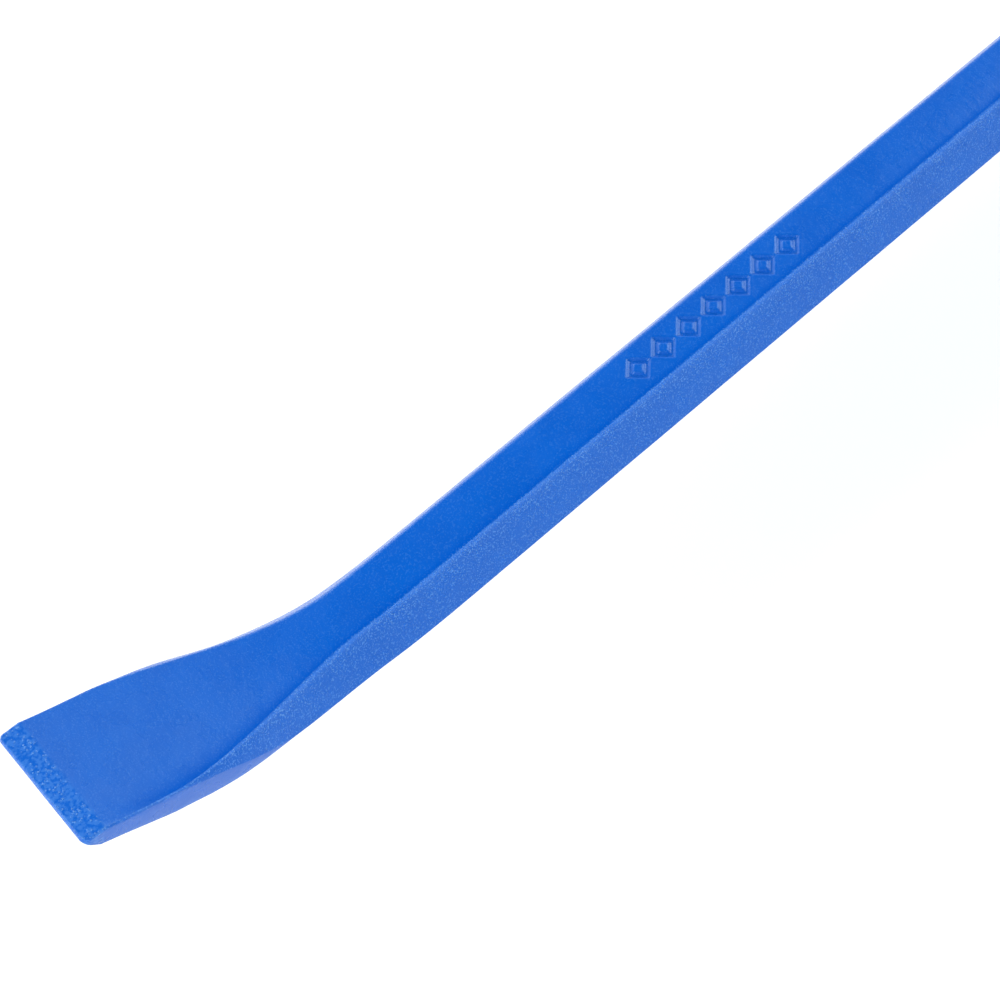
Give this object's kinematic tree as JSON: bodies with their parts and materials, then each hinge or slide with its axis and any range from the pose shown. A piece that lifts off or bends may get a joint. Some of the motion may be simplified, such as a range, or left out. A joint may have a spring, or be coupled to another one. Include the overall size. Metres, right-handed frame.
{
  "type": "pry bar",
  "caption": "Hexagonal steel pry bar with a cranked chisel blade at one end and a slotted gooseneck claw at the other, powder coated blue.",
  "frame": {"origin": "middle of the shank's lower flat, on the finished surface, halfway along the plain hexagonal shank", "axes": "+X along the shank towards the chisel blade, +Z out of the flat that carries the pressed mark, which is the way the blade rises, +Y across the bar; the gooseneck curls towards -Z"},
  "size_m": [0.6004, 0.0312, 0.1064],
  "materials": {
    "forged_steel": "satin",
    "blue_powder_coat": "satin"
  },
  "bodies": {
    "root": {"forged_bar": "forged_steel", "powder_coat": "blue_powder_coat"}
  },
  "joints": []
}
